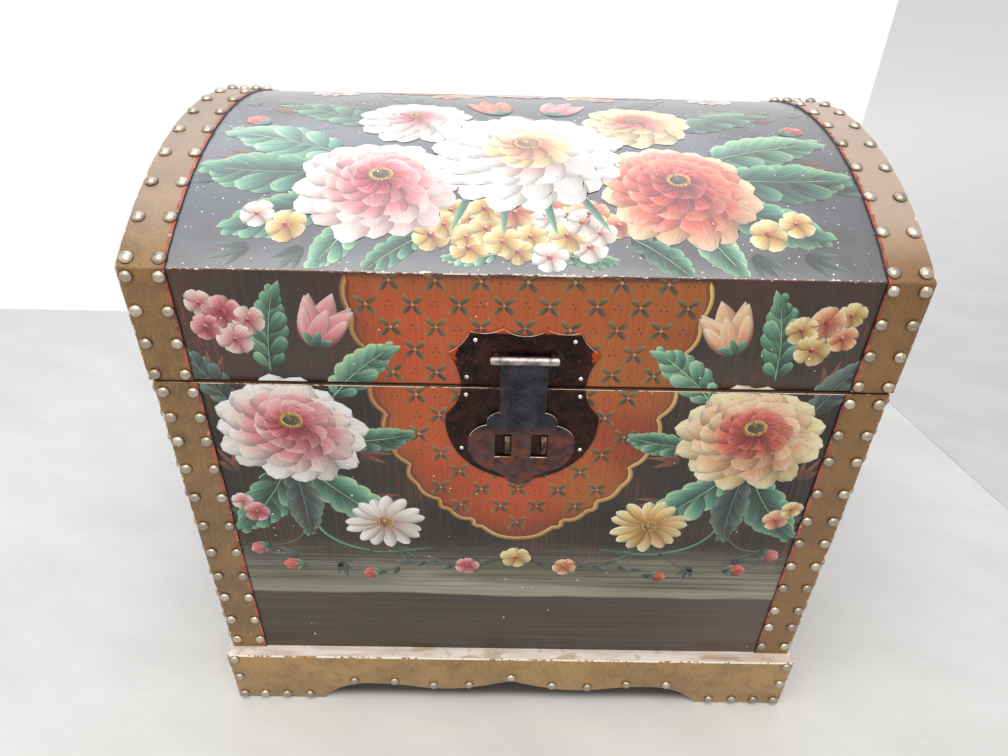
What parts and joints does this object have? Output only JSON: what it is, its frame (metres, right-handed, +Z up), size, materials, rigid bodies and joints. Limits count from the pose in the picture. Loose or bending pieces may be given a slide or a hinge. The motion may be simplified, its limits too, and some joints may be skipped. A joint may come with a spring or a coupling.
{
  "type": "dowry chest",
  "caption": "Dome-topped wooden chest on a scalloped plinth, painted panels, studded leather corner bands, rear-hinged lid and a swinging hasp over padlock staples.",
  "frame": {"origin": "on the floor, under the middle of the chest's width and depth", "axes": "+X towards the viewer's right when facing the hasp, +Y from the front to the back, +Z up"},
  "size_m": [0.4416, 0.326, 0.4214],
  "materials": {
    "painted_wood": "hand-painted flowers on a dark ground, satin varnish, worn edges",
    "bare_wood": "bare sawn softwood",
    "plinth_leathercloth": "board covered in gold-brown leathercloth",
    "band_leather": "gold-brown leathercloth with a thin red edge line",
    "stud_brass": "domed, silvery brass, aged",
    "lock_iron": "dark brown patina with rust mottling",
    "lock_nail_steel": "small bright nail heads",
    "hinge_brass": "pressed sheet, dulled"
  },
  "bodies": {
    "chest_body": {"body_back_board": "painted_wood", "body_band_back_left": "band_leather", "body_band_back_right": "band_leather", "body_band_front_left": "band_leather", "body_band_front_right": "band_leather", "body_bottom": "bare_wood", "body_front_board": "painted_wood", "body_left_end": "painted_wood", "body_right_end": "painted_wood", "body_studs_back_left": "stud_brass", "body_studs_back_right": "stud_brass", "body_studs_front_left": "stud_brass", "body_studs_front_right": "stud_brass", "hasp_staples": "lock_iron", "hinge_leaf_body_left": "hinge_brass", "hinge_leaf_body_right": "hinge_brass", "hinge_pin_left": "hinge_brass", "hinge_pin_right": "hinge_brass", "hinge_screws_body": "hinge_brass", "lock_nails_body": "lock_nail_steel", "lock_plate_body": "lock_iron", "plinth_back": "plinth_leathercloth", "plinth_corner_blocks": "bare_wood", "plinth_front": "plinth_leathercloth", "plinth_left": "plinth_leathercloth", "plinth_right": "plinth_leathercloth", "plinth_studs_back": "stud_brass", "plinth_studs_front": "stud_brass", "plinth_studs_left": "stud_brass", "plinth_studs_right": "stud_brass"},
    "lid": {"hasp_eyes": "lock_iron", "hasp_pin": "lock_iron", "hinge_leaf_lid_left": "hinge_brass", "hinge_leaf_lid_right": "hinge_brass", "hinge_screws_lid": "hinge_brass", "lid_back_board": "painted_wood", "lid_band_left": "band_leather", "lid_band_right": "band_leather", "lid_dome_panel": "painted_wood", "lid_dome_studs_left": "stud_brass", "lid_dome_studs_right": "stud_brass", "lid_end_studs_left": "stud_brass", "lid_end_studs_right": "stud_brass", "lid_front_board": "painted_wood", "lid_left_end": "painted_wood", "lid_right_end": "painted_wood", "lid_wall_studs_left": "stud_brass", "lid_wall_studs_right": "stud_brass", "lock_nails_lid": "lock_nail_steel", "lock_plate_lid": "lock_iron"},
    "hasp_arm": {"hasp": "lock_iron"}
  },
  "joints": [
    {"name": "lid_hinge", "type": "hinge", "parent": "chest_body", "child": "lid", "pos_m": [0, 0.1534, 0.30515], "axis": [-1, 0, 0], "range_deg": [0, 110]},
    {"name": "hasp_swing", "type": "hinge", "parent": "lid", "child": "hasp_arm", "pos_m": [0, -0.1543, 0.3272], "axis": [-1, 0, 0], "range_deg": [0, 180]}
  ]
}
